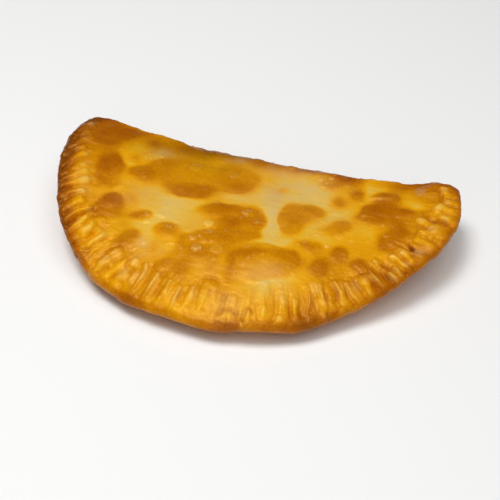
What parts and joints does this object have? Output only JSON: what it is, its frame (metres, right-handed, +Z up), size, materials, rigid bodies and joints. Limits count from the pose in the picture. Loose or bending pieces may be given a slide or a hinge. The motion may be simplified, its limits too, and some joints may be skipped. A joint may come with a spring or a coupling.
{
  "type": "cheburek",
  "caption": "Half-moon fried turnover of thin golden dough with a straight fold, a fork-pressed sealed edge, brown blisters and tips that curl up. Lies flat, served whole to eat by hand.",
  "frame": {"origin": "under the middle of the pastry's outline, on the surface that it rests on", "axes": "+X along the fold to the right tip, +Y from the sealed edge to the fold, +Z up"},
  "size_m": [0.222, 0.13, 0.0307],
  "materials": {
    "fried_dough": "oily fried dough, golden with brown blister tops, slightly glossy"
  },
  "bodies": {
    "root": {"cheburek": "fried_dough"}
  },
  "joints": []
}
